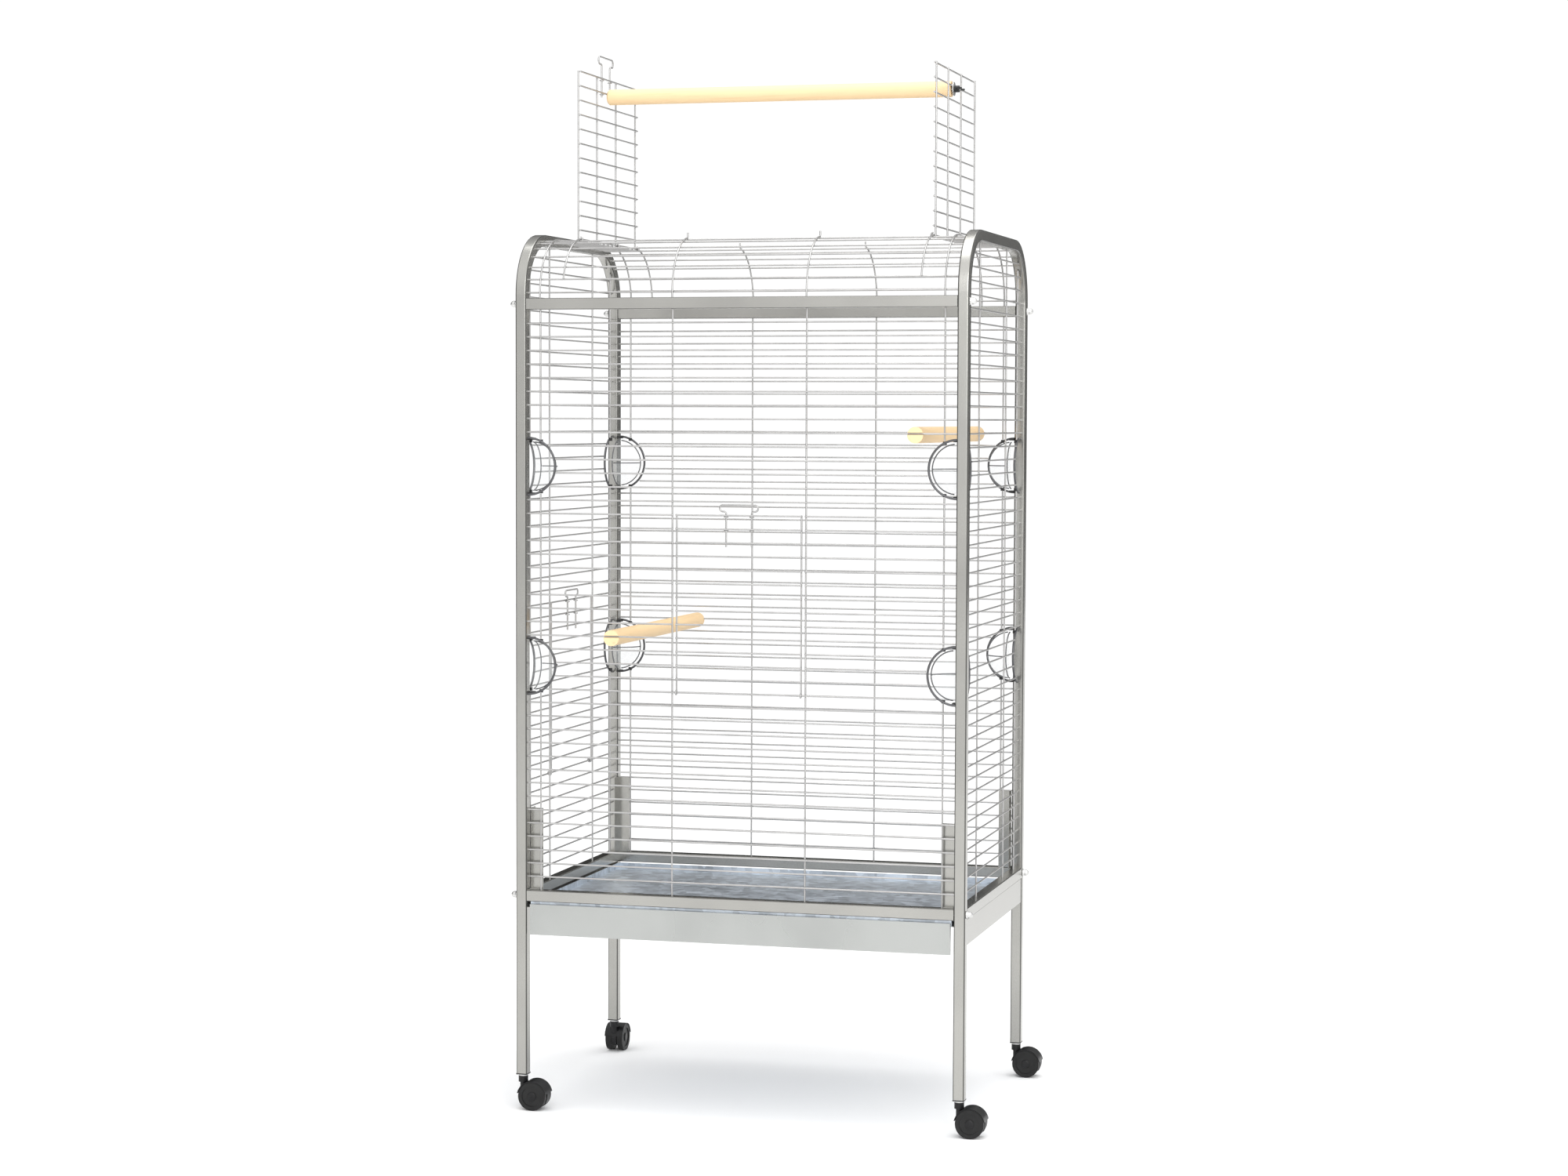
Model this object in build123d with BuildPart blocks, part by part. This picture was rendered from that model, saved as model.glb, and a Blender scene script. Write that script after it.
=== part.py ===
"""Bird cage on a wheeled stand: tube frame, wire panels, doors, roof flaps and tray.

Millimetres, +Z up, front of the cage towards -Y. Pieces are drawn about the middle of
the tube frame and saved about the middle of the overall box, which trailing casters move.
"""
import math
import os

from build123d import *

# Tube frame
WIDTH = 810.0
DEPTH = 535.0
HEIGHT = 1550.0
TUBE = 20.0
TUBE_WALL = 1.5
BEND_RADIUS = 100.0
LEG_BOTTOM = 64.0
TOP_RAIL_Z = HEIGHT - 136
BOTTOM_RAIL_Z = 372.0

# Wire panels
WIRE = 3.0
GAP = 0.1
ROWS = 42
EDGE_WIRE = 23.0
MIDDLE_WIRE = 120.0

# Doors and their latches
DOOR_HALF = 112.0
DOOR_PITCHES = 13
FRONT_DOOR_ROW = 27
SIDE_DOOR_ROW = 34
LATCH_STEM = 23.0

# Roof opening and its two flaps
HINGE_X = 320.0
OPENING_HALF = 168.0
FLAP_PITCH = 25.4
FLAP_ROWS = 12

# Perches and feeders
PERCH = 28.0
FEEDER_RADIUS = 44.0
FEEDER_Z = (1140.0, 789.0)

# Tray and casters
TRAY_Z = BOTTOM_RAIL_Z - 12
TRAY_RIM = 11.4
WHEEL = 50.0
WHEEL_WIDTH = 11.0
TRAIL = 21.0
GUARD_OUTER = 27.2
GUARD_HALF = 18.0

ORIGIN_SHIFT = (-13.0, -15.0, 0.0)

# Derived sizes
INNER_X = WIDTH / 2 - TUBE
POST_X = (WIDTH - TUBE) / 2
POST_Y = (DEPTH - TUBE) / 2
INNER_Y = DEPTH / 2 - TUBE
ARCH_Z = HEIGHT - TUBE / 2
BEND_Z = ARCH_Z - BEND_RADIUS
BEND_Y = POST_Y - BEND_RADIUS
RAIL_TOP = BOTTOM_RAIL_Z + TUBE
PITCH = (TOP_RAIL_Z - RAIL_TOP) / (ROWS + 1)
LAYER = (WIRE + GAP) / 2
ROOF_WIRE_Z = ARCH_Z + LAYER
LOOP = WIRE + 0.08
RING_RADIUS = FEEDER_RADIUS + 6
RING_STOP = RING_RADIUS + 3

os.makedirs("parts", exist_ok=True)


def row_z(index):
    """Height of a panel row, counted down from the top rail."""
    return TOP_RAIL_Z - PITCH * (index + 1)


def rods(spans, radius=WIRE / 2):
    """Add straight round rods between pairs of points, grouped by length."""
    groups = {}
    for start, end in spans:
        run = Vector(*end) - Vector(*start)
        places = groups.setdefault(round(run.length, 3), [])
        places.append(Plane(origin=start, z_dir=run).location)
    for length, places in groups.items():
        with Locations(*places):
            Cylinder(radius, length, align=(Align.CENTER, Align.CENTER, Align.MIN))


def boxes(spans):
    """Add plain boxes, each given by its lowest and highest corner."""
    for low, high in spans:
        size = [b - a for a, b in zip(low, high)]
        centre = [(a + b) / 2 for a, b in zip(low, high)]
        with Locations(tuple(centre)):
            Box(*size)


def loops(places, major, minor=WIRE / 2, turn=(0, 0, 0)):
    """Add wire rings whose axis is Z before they are turned."""
    with Locations(*[Location(place, turn) for place in places]):
        Torus(major, minor)


def feeder_reach(height, radius=RING_STOP):
    """How far a feeder ring reaches from the post at this height."""
    reach = 0.0
    for centre in FEEDER_Z:
        rise = abs(height - centre)
        if rise < radius:
            reach = max(reach, math.sqrt(radius**2 - rise**2))
    return reach


def upright_runs(low, high):
    """Heights between which an edge wire runs clear of the feeder rings."""
    half = math.sqrt(RING_STOP**2 - EDGE_WIRE**2)
    stops = [low]
    for centre in sorted(FEEDER_Z):
        stops += [centre - half, centre + half]
    stops.append(high)
    return list(zip(stops[0::2], stops[1::2]))


def save(part, name):
    """Move a finished piece to the shared origin, label it and write its file."""
    placed = part.moved(Location(ORIGIN_SHIFT))
    placed.label = name
    export_step(placed, f"parts/{name}.step")


# ---------------------------------------------------------------- tube frame
def bend_path(start_z, radius=BEND_RADIUS, flat_z=ARCH_Z):
    """Path of a side frame: up the front post, over the top and down the back."""
    with BuildLine(Plane.YZ, mode=Mode.PRIVATE) as path:
        Line((-BEND_Y - radius, start_z), (-BEND_Y - radius, flat_z - radius))
        RadiusArc((-BEND_Y - radius, flat_z - radius), (-BEND_Y, flat_z), radius)
        Line((-BEND_Y, flat_z), (BEND_Y, flat_z))
        RadiusArc((BEND_Y, flat_z), (BEND_Y + radius, flat_z - radius), radius)
        Line((BEND_Y + radius, flat_z - radius), (BEND_Y + radius, start_z))
    return path.wires()[0]


def side_frame(x):
    """One bent square tube with its four bolt holes."""
    with BuildSketch(Plane.XY.offset(LEG_BOTTOM), mode=Mode.PRIVATE) as section:
        with Locations((0, -POST_Y)):
            RectangleRounded(TUBE, TUBE, 3)
            RectangleRounded(TUBE - 2 * TUBE_WALL, TUBE - 2 * TUBE_WALL, 1.5, mode=Mode.SUBTRACT)
    bent = sweep(section.sketch, path=bend_path(LEG_BOTTOM), mode=Mode.PRIVATE)
    with Locations((x, 0, 0)):
        add(bent)
    with Locations(*[Location((x, y, z), (0, 90, 0)) for y in (-POST_Y, POST_Y) for z in BOLT_Z]):
        Cylinder(3.1, TUBE + 2, mode=Mode.SUBTRACT)


BOLT_Z = (BOTTOM_RAIL_Z + TUBE / 2, TOP_RAIL_Z + TUBE / 2)

with BuildPart() as left_side_frame:
    side_frame(-POST_X)
save(left_side_frame.part, "left_side_frame")

with BuildPart() as right_side_frame:
    side_frame(POST_X)
save(right_side_frame.part, "right_side_frame")


def cross_rail(y, z):
    """A square tube between the side frames, with a threaded plug in each end."""
    with BuildSketch(Plane.YZ.offset(-INNER_X + 0.1), mode=Mode.PRIVATE) as section:
        with Locations((y, z)):
            RectangleRounded(TUBE, TUBE, 2)
            RectangleRounded(TUBE - 2 * TUBE_WALL, TUBE - 2 * TUBE_WALL, 1, mode=Mode.SUBTRACT)
    extrude(section.sketch, amount=2 * INNER_X - 0.2)
    inside = TUBE - 2 * TUBE_WALL
    for side in (-1, 1):
        with Locations((side * (INNER_X - 8), y, z)):
            Box(12, inside, inside)
        with Locations(Location((side * (INNER_X - 8), y, z), (0, 90, 0))):
            Cylinder(3, 14, mode=Mode.SUBTRACT)


with BuildPart() as front_top_rail:
    cross_rail(-POST_Y, BOLT_Z[1])
save(front_top_rail.part, "front_top_rail")

with BuildPart() as back_top_rail:
    cross_rail(POST_Y, BOLT_Z[1])
save(back_top_rail.part, "back_top_rail")

with BuildPart() as front_bottom_rail:
    cross_rail(-POST_Y, BOLT_Z[0])
save(front_bottom_rail.part, "front_bottom_rail")

with BuildPart() as back_bottom_rail:
    cross_rail(POST_Y, BOLT_Z[0])
save(back_bottom_rail.part, "back_bottom_rail")


def side_rail(x):
    """A square tube between the two posts of one side frame."""
    with BuildSketch(Plane.XZ.offset(-INNER_Y + 0.1), mode=Mode.PRIVATE) as section:
        with Locations((x, BOLT_Z[0])):
            RectangleRounded(TUBE, TUBE, 2)
            RectangleRounded(TUBE - 2 * TUBE_WALL, TUBE - 2 * TUBE_WALL, 1, mode=Mode.SUBTRACT)
    extrude(section.sketch, amount=2 * INNER_Y - 0.2)


with BuildPart() as left_bottom_rail:
    side_rail(-POST_X)
save(left_bottom_rail.part, "left_bottom_rail")

with BuildPart() as right_bottom_rail:
    side_rail(POST_X)
save(right_bottom_rail.part, "right_bottom_rail")


def runner(side):
    """Folded sheet under a side rail, with the ledge that carries the tray."""
    outer = side * (WIDTH / 2 - 1)
    inner = side * (INNER_X - 17)
    half = INNER_Y - 0.2
    low, high = BOTTOM_RAIL_Z - 44, BOTTOM_RAIL_Z - 0.1
    ledge = TRAY_Z - 1.7
    web = sorted((outer, outer - side * 1.5))
    shelf = sorted((inner, outer))
    boxes([((web[0], -half, low), (web[1], half, high))])
    boxes([((shelf[0], -half, ledge), (shelf[1], half, ledge + 1.5))])


with BuildPart() as left_drawer_runner:
    runner(-1)
save(left_drawer_runner.part, "left_drawer_runner")

with BuildPart() as right_drawer_runner:
    runner(1)
save(right_drawer_runner.part, "right_drawer_runner")

with BuildPart() as rail_bolts:
    upward = (Align.CENTER, Align.CENTER, Align.MIN)
    for side in (-1, 1):
        heads = [(y, z) for y in (-POST_Y, POST_Y) for z in BOLT_Z]
        rods([((side * (WIDTH / 2 - 32), y, z), (side * (WIDTH / 2 + 1), y, z)) for y, z in heads], 2.9)
        for offset, low, high, length in ((0.1, 6.0, 6.0, 5.0), (5.1, 6.0, 4.8, 4.0), (9.1, 4.8, 2.4, 2.5)):
            x = side * (WIDTH / 2 + offset)
            with Locations(*[Location((x, y, z), (0, side * 90, 0)) for y, z in heads]):
                if low == high:
                    Cylinder(low, length, align=upward)
                else:
                    Cone(low, high, length, align=upward)
save(rail_bolts.part, "rail_bolts")


# ---------------------------------------------------------------- wire panels
def door_rows(last_row):
    """Panel rows that stop short at a doorway."""
    return range(last_row - DOOR_PITCHES, last_row)


def flat_panel(place, inner, rows, top, cut=()):
    """Rows and uprights of a flat panel; place() turns (across, layer, z) into a point."""
    spans = []
    for index in rows:
        z = row_z(index)
        half = min(inner - 0.1, inner - feeder_reach(z))
        if z > BEND_Z:
            half = BEND_Y + math.sqrt((BEND_RADIUS - TUBE / 2 - 0.3) ** 2 - (z - BEND_Z + WIRE / 2) ** 2)
        if index in cut:
            spans.append((place(-half, LAYER, z), place(-MIDDLE_WIRE, LAYER, z)))
            spans.append((place(MIDDLE_WIRE, LAYER, z), place(half, LAYER, z)))
        else:
            spans.append((place(-half, LAYER, z), place(half, LAYER, z)))
    low = RAIL_TOP + 0.1
    edge = inner - EDGE_WIRE
    for side in (-1, 1):
        spans.append((place(side * MIDDLE_WIRE, -LAYER, low), place(side * MIDDLE_WIRE, -LAYER, top[0])))
        for start, end in upright_runs(low, top[1]):
            spans.append((place(side * edge, -LAYER, start), place(side * edge, -LAYER, end)))
    rods(spans)


def facing_front(across, out, z):
    """A point on the front panel, out from the middle of the tube."""
    return (across, -POST_Y - out, z)


def facing_back(across, out, z):
    """A point on the back panel, out from the middle of the tube."""
    return (across, POST_Y + out, z)


def facing_left(across, out, z):
    """A point on the left panel, out from the middle of the tube."""
    return (-POST_X - out, across, z)


def facing_right(across, out, z):
    """A point on the right panel, out from the middle of the tube."""
    return (POST_X + out, across, z)


FLAT_TOP = (TOP_RAIL_Z - 0.1, TOP_RAIL_Z - 0.1)
SIDE_TOP = (ARCH_Z - TUBE / 2 - 0.1, BEND_Z + 57.5)
SIDE_ROWS = range(-5, ROWS)

with BuildPart() as front_mesh:
    flat_panel(facing_front, INNER_X, range(ROWS), FLAT_TOP, door_rows(FRONT_DOOR_ROW))
save(front_mesh.part, "front_mesh")

with BuildPart() as back_mesh:
    flat_panel(facing_back, INNER_X, range(ROWS), FLAT_TOP)
save(back_mesh.part, "back_mesh")

with BuildPart() as left_mesh:
    flat_panel(facing_left, INNER_Y, SIDE_ROWS, SIDE_TOP, door_rows(SIDE_DOOR_ROW))
save(left_mesh.part, "left_mesh")

with BuildPart() as right_mesh:
    flat_panel(facing_right, INNER_Y, SIDE_ROWS, SIDE_TOP)
save(right_mesh.part, "right_mesh")


# ---------------------------------------------------------------- roof wires
ROOF_R = BEND_RADIUS + LAYER
EDGE_ROW_Y = OPENING_HALF - 0.21
EDGE_ANGLE = math.degrees(math.acos((EDGE_ROW_Y - BEND_Y) / (BEND_RADIUS - LAYER)))
ROW_ANGLE = 13.64
SHORT_STEP = 23.8


def roof_wire(front_angle, back_angle):
    """A wire following the arch between two angles; 0 is the upright, 90 the flat top."""
    with BuildLine(Plane.YZ, mode=Mode.PRIVATE) as path:
        if front_angle <= 0:
            Line((-BEND_Y - ROOF_R, TOP_RAIL_Z + TUBE + 0.1), (-BEND_Y - ROOF_R, BEND_Z))
        CenterArc((-BEND_Y, BEND_Z), ROOF_R, 180 - max(front_angle, 0), -(90 - max(front_angle, 0)))
        if back_angle is not None:
            Line((-BEND_Y, ROOF_WIRE_Z), (BEND_Y, ROOF_WIRE_Z))
            CenterArc((BEND_Y, BEND_Z), ROOF_R, 90, -(90 - max(back_angle, 0)))
            if back_angle <= 0:
                Line((BEND_Y + ROOF_R, BEND_Z), (BEND_Y + ROOF_R, TOP_RAIL_Z + TUBE + 0.1))
    wire = path.wires()[0]
    with BuildSketch(Plane(origin=wire @ 0, z_dir=wire % 0), mode=Mode.PRIVATE) as section:
        Circle(WIRE / 2)
    return sweep(section.sketch, path=wire, mode=Mode.PRIVATE)


def front_stub():
    """The short curved wire that ends at the front edge of the roof opening."""
    with BuildLine(Plane.YZ, mode=Mode.PRIVATE) as path:
        Line((-BEND_Y - ROOF_R, TOP_RAIL_Z + TUBE + 0.1), (-BEND_Y - ROOF_R, BEND_Z))
        CenterArc((-BEND_Y, BEND_Z), ROOF_R, 180, -EDGE_ANGLE)
    wire = path.wires()[0]
    with BuildSketch(Plane(origin=wire @ 0, z_dir=wire % 0), mode=Mode.PRIVATE) as section:
        Circle(WIRE / 2)
    return sweep(section.sketch, path=wire, mode=Mode.PRIVATE)


full_wire = roof_wire(0, 0)
hinge_wire = roof_wire(EDGE_ANGLE - 5 * ROW_ANGLE, 0)
stub_wire = front_stub()

with BuildPart() as roof_mesh:
    inner_r = BEND_RADIUS - LAYER
    long_rows = []
    for step in range(7):
        angle = math.radians(EDGE_ANGLE - ROW_ANGLE * step)
        y = BEND_Y + inner_r * math.cos(angle)
        z = BEND_Z + inner_r * math.sin(angle)
        for side in (-1, 1):
            long_rows.append(((-INNER_X + 0.1, side * y, z), (INNER_X - 0.1, side * y, z)))
    rods(long_rows)
    short_rows = []
    for step in range(-7, 7):
        y = 15.3 + SHORT_STEP * step
        for side in (-1, 1):
            ends = (side * (HINGE_X - 1.2), y, ARCH_Z - LAYER), (side * (INNER_X - 0.1), y, ARCH_Z - LAYER)
            short_rows.append(ends)
    rods(short_rows)
    with Locations((-INNER_X + EDGE_WIRE, 0, 0), (INNER_X - EDGE_WIRE, 0, 0)):
        add(full_wire)
    with Locations((-HINGE_X, 0, 0), (HINGE_X, 0, 0)):
        add(hinge_wire)
    with Locations((-MIDDLE_WIRE, 0, 0), (MIDDLE_WIRE, 0, 0)):
        add(stub_wire)
    with Locations(Location((-MIDDLE_WIRE, 0, 0), (0, 0, 180)), Location((MIDDLE_WIRE, 0, 0), (0, 0, 180))):
        add(stub_wire)
    hook_z = BEND_Z + ROOF_R * math.sin(math.radians(EDGE_ANGLE)) + WIRE / 2 + 0.1
    hook_y = BEND_Y + ROOF_R * math.cos(math.radians(EDGE_ANGLE + 1))
    corners = [(x, y) for x in (-MIDDLE_WIRE, MIDDLE_WIRE) for y in (-hook_y, hook_y)]
    rods([((x, y, hook_z), (x, y, hook_z + 8)) for x, y in corners])
save(roof_mesh.part, "roof_mesh")


# ---------------------------------------------------------------- feeders
PIVOT_IN = 4.0
CORNERS = [(-1, -1), (1, -1), (-1, 1), (1, 1)]


def half_ring(origin, z_dir):
    """A half ring of feeder wire standing on its side, open towards the post."""
    with Locations(Plane(origin=origin, x_dir=(0, 0, 1), z_dir=z_dir).location):
        Torus(RING_RADIUS, 2, major_angle=180, align=None)


with BuildPart() as feeder_rings:
    for sx, sy in CORNERS:
        for z in FEEDER_Z:
            half_ring((sx * (INNER_X - 0.1), sy * POST_Y, z), (0, -sx, 0))
            half_ring((sx * POST_X, sy * (INNER_Y - 0.1), z), (sy, 0, 0))
save(feeder_rings.part, "feeder_rings")

with BuildPart() as feeder_clips:
    blocks = []
    for sx, sy in CORNERS:
        for z in FEEDER_Z:
            for up in (-1, 1):
                lug = sorted((z + up * (FEEDER_RADIUS + 2.2), z + up * (FEEDER_RADIUS + 6.4)))
                xs = sorted((sx * (INNER_X - 8), sx * (INNER_X - 0.1)))
                ys = sorted((sy * (INNER_Y - 8), sy * (INNER_Y + 7.5)))
                blocks.append(((xs[0], ys[0], lug[0]), (xs[1], ys[1], lug[1])))
                pad = sorted((z + up * (FEEDER_RADIUS - 2.5), z + up * (FEEDER_RADIUS + 3.2)))
                edge_x, edge_y = sx * (INNER_X - EDGE_WIRE), sy * (INNER_Y - EDGE_WIRE)
                inside_y = sorted((sy * (POST_Y - 2.1), sy * (POST_Y - 5.5)))
                inside_x = sorted((sx * (POST_X - 2.1), sx * (POST_X - 5.5)))
                blocks.append(((edge_x - 3, inside_y[0], pad[0]), (edge_x + 3, inside_y[1], pad[1])))
                blocks.append(((inside_x[0], edge_y - 3, pad[0]), (inside_x[1], edge_y + 3, pad[1])))
    boxes(blocks)
    pivots = [(sx * (INNER_X - PIVOT_IN), sy * (INNER_Y - PIVOT_IN)) for sx, sy in CORNERS]
    for z in FEEDER_Z:
        with Locations(*[(x, y, z) for x, y in pivots]):
            Cylinder(1.56, 2 * FEEDER_RADIUS + 22, mode=Mode.SUBTRACT)
save(feeder_clips.part, "feeder_clips")


def feeder(sx, sy, z):
    """A clear corner cup: two half-round walls on a barrel and a quarter bowl below."""
    px, py = sx * (INNER_X - PIVOT_IN), sy * (INNER_Y - PIVOT_IN)
    size = FEEDER_RADIUS + 2
    with Locations((px, py, z)):
        Sphere(FEEDER_RADIUS)
        Sphere(FEEDER_RADIUS - 2, mode=Mode.SUBTRACT)
    with Locations((px - sx * size / 2, py - sy * size / 2, z - size / 2)):
        Box(size, size, size, mode=Mode.INTERSECT)
    with BuildSketch(Plane.XZ.offset(-py), mode=Mode.PRIVATE) as front_wall:
        with Locations((px, z)):
            Circle(FEEDER_RADIUS)
        with Locations((px - sx * size / 2, z)):
            Rectangle(size, 2 * size, mode=Mode.INTERSECT)
    extrude(front_wall.sketch, amount=1, both=True)
    with BuildSketch(Plane.YZ.offset(px), mode=Mode.PRIVATE) as side_wall:
        with Locations((py, z)):
            Circle(FEEDER_RADIUS)
        with Locations((py - sy * size / 2, z)):
            Rectangle(size, 2 * size, mode=Mode.INTERSECT)
    extrude(side_wall.sketch, amount=1, both=True)
    with Locations((px, py, z)):
        Cylinder(3, 2 * FEEDER_RADIUS + 4)
        Cylinder(1.5, 2 * FEEDER_RADIUS + 11)


for sx, sy in CORNERS:
    for z, level in zip(FEEDER_Z, ("upper", "lower")):
        with BuildPart() as cup:
            feeder(sx, sy, z)
        where = ("front" if sy < 0 else "back") + "_" + ("left" if sx < 0 else "right")
        save(cup.part, f"feeder_{where}_{level}")


# ---------------------------------------------------------------- corner plates
PLATE_LEG = 24.0
PLATE_TOP = 536.0
SHEET = 1.2

for sx, sy in CORNERS:
    with BuildPart() as corner_plate:
        low = RAIL_TOP + 0.3
        near_x, near_y = sx * (INNER_X - 0.3), sy * (INNER_Y - 0.3)
        far_x, far_y = sx * (INNER_X - PLATE_LEG), sy * (INNER_Y - PLATE_LEG)
        xs, ys = sorted((near_x, far_x)), sorted((near_y, far_y))
        thin_x, thin_y = sorted((near_x, near_x - sx * SHEET)), sorted((near_y, near_y - sy * SHEET))
        foot_x = sorted((sx * (INNER_X - 20), sx * (INNER_X - 3)))
        foot_y = sorted((sy * (INNER_Y + 10), near_y - sy * SHEET))
        boxes([((xs[0], thin_y[0], low), (xs[1], thin_y[1], PLATE_TOP))])
        boxes([((thin_x[0], ys[0], low), (thin_x[1], ys[1], PLATE_TOP))])
        boxes([((foot_x[0], foot_y[0], low), (foot_x[1], foot_y[1], low + SHEET))])
    where = ("front" if sy < 0 else "back") + "_" + ("left" if sx < 0 else "right")
    save(corner_plate.part, f"corner_plate_{where}")


# ---------------------------------------------------------------- tray
TRAY_HALF = INNER_X - 5
TRAY_FRONT = -DEPTH / 2 + 8
TRAY_BACK = INNER_Y - 7.5
FRONT_LOW = BOTTOM_RAIL_Z - 59
FRONT_HIGH = BOTTOM_RAIL_Z - 5

with BuildPart() as tray:
    depth = TRAY_BACK - TRAY_FRONT
    middle = (TRAY_BACK + TRAY_FRONT) / 2
    base = (Align.CENTER, Align.CENTER, Align.MIN)
    with Locations((0, middle, TRAY_Z)):
        Box(2 * TRAY_HALF, depth, TRAY_RIM, align=base)
    with Locations((0, middle, TRAY_Z + 1.5)):
        Box(2 * TRAY_HALF - 3, depth - 3, TRAY_RIM, align=base, mode=Mode.SUBTRACT)
save(tray.part, "tray")

with BuildPart() as drawer_front:
    tall = FRONT_HIGH - FRONT_LOW
    with Locations((0, -DEPTH / 2 + 3.75, FRONT_LOW + tall / 2)):
        Box(2 * TRAY_HALF - 2, 7.5, tall)
    with Locations((0, -DEPTH / 2 + 5.25, FRONT_LOW + tall / 2)):
        Box(2 * TRAY_HALF - 5, 7.5, tall - 3, mode=Mode.SUBTRACT)
save(drawer_front.part, "drawer_front")


# ---------------------------------------------------------------- perches
def inner_perch(x, z, index):
    """A dowel from front to back, slotted at both ends over a panel row."""
    half = POST_Y + 4.5
    with Locations(Location((x, 0, z), (90, 0, 0))):
        Cylinder(PERCH / 2, 2 * half)
    slot = half - (POST_Y - 0.2)
    for side in (-1, 1):
        with Locations((x, side * (half - slot / 2), row_z(index))):
            Box(PERCH + 2, slot + 0.02, WIRE + 0.6, mode=Mode.SUBTRACT)


with BuildPart() as inner_perch_left:
    inner_perch(-230, 841, 23)
save(inner_perch_left.part, "inner_perch_left")

with BuildPart() as inner_perch_right:
    inner_perch(312, 1198, 8)
save(inner_perch_right.part, "inner_perch_right")

TOP_PERCH_Y = -11.5
TOP_PERCH_Z = 1806.0
FLAP_IN = HINGE_X - WIRE / 2
FLAP_OUT = HINGE_X + WIRE / 2

with BuildPart() as top_perch:
    with Locations(Location((0, TOP_PERCH_Y, TOP_PERCH_Z), (0, 90, 0))):
        Cylinder(PERCH / 2, 2 * (FLAP_IN - 0.3))
    chamfer(top_perch.edges().sort_by(Axis.X)[0], 3)
    with Locations(Location((FLAP_IN - 0.3, TOP_PERCH_Y, TOP_PERCH_Z), (0, -90, 0))):
        Cylinder(2.5, 44, align=(Align.CENTER, Align.CENTER, Align.MIN), mode=Mode.SUBTRACT)
save(top_perch.part, "top_perch")

with BuildPart() as perch_bolt:
    rods([((HINGE_X - 44, TOP_PERCH_Y, TOP_PERCH_Z), (FLAP_OUT + 12.5, TOP_PERCH_Y, TOP_PERCH_Z))], 2.45)
save(perch_bolt.part, "perch_bolt")

with BuildPart() as perch_washer:
    rods([((FLAP_OUT + 0.1, TOP_PERCH_Y, TOP_PERCH_Z), (FLAP_OUT + 1.6, TOP_PERCH_Y, TOP_PERCH_Z))], 12)
    with Locations(Location((HINGE_X, TOP_PERCH_Y, TOP_PERCH_Z), (0, 90, 0))):
        Cylinder(2.6, 10, mode=Mode.SUBTRACT)
save(perch_washer.part, "perch_washer")

with BuildPart() as wing_nut:
    rods([((FLAP_OUT + 1.7, TOP_PERCH_Y, TOP_PERCH_Z), (FLAP_OUT + 10.5, TOP_PERCH_Y, TOP_PERCH_Z))], 6)
    with BuildSketch(Plane.XY.offset(TOP_PERCH_Z - 1.5), mode=Mode.PRIVATE) as wings:
        for side in (-1, 1):
            with BuildLine():
                Polyline(
                    (FLAP_OUT + 3, TOP_PERCH_Y + side * 4),
                    (FLAP_OUT + 9, TOP_PERCH_Y + side * 4),
                    (FLAP_OUT + 17.5, TOP_PERCH_Y + side * 13),
                    (FLAP_OUT + 15.5, TOP_PERCH_Y + side * 17),
                    (FLAP_OUT + 10.5, TOP_PERCH_Y + side * 16),
                    close=True,
                )
            make_face()
    extrude(wings.sketch, amount=3)
    with Locations(Location((HINGE_X, TOP_PERCH_Y, TOP_PERCH_Z), (0, 90, 0))):
        Cylinder(2.5, 40, mode=Mode.SUBTRACT)
save(wing_nut.part, "wing_nut")


# ---------------------------------------------------------------- doors and flaps
def hooked_wire(plane, length, loop=LOOP):
    """An upright whose lower end is rolled round a hinge wire at the plane's origin."""
    with BuildLine(plane, mode=Mode.PRIVATE) as path:
        Line((-loop, length), (-loop, 0))
        CenterArc((0, 0), loop, 180, 265)
    wire = path.wires()[0]
    with BuildSketch(Plane(origin=wire @ 0, z_dir=wire % 0), mode=Mode.PRIVATE) as section:
        Circle(WIRE / 2)
    sweep(section.sketch, path=wire)


def latch_wire(plane, bottom, curl, top, half_bar):
    """A sliding bolt bent from one wire: two stems, a curl each side and a bar on top."""
    bend = 4.0
    turn = (top - curl) / 2
    with BuildLine(plane, mode=Mode.PRIVATE) as path:
        Line((-LATCH_STEM, bottom), (-LATCH_STEM, curl - bend))
        JernArc((-LATCH_STEM, curl - bend), (0, 1), bend, 90)
        Line((-LATCH_STEM - bend, curl), (-half_bar, curl))
        JernArc((-half_bar, curl), (-1, 0), turn, -180)
        Line((-half_bar, top), (half_bar, top))
        JernArc((half_bar, top), (1, 0), turn, -180)
        Line((half_bar, curl), (LATCH_STEM + bend, curl))
        JernArc((LATCH_STEM + bend, curl), (-1, 0), bend, 90)
        Line((LATCH_STEM, curl - bend), (LATCH_STEM, bottom))
    wire = path.wires()[0]
    with BuildSketch(Plane(origin=wire @ 0, z_dir=wire % 0), mode=Mode.PRIVATE) as section:
        Circle(WIRE / 2)
    sweep(section.sketch, path=wire)


LATCH_BEHIND = WIRE + 0.35
LATCH_LENGTH = 72.5
LATCH_HEAD = 13.5
DOOR_LATCH_HEAD = 11.0
LATCH_REST = 5.8
END_INSET = 5.0
FLAP_AXIS_Z = ROOF_WIRE_Z
FLAP_TOP_Z = 1837.0
FLAP_UPRIGHTS = (-62.5, 45.5)


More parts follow.
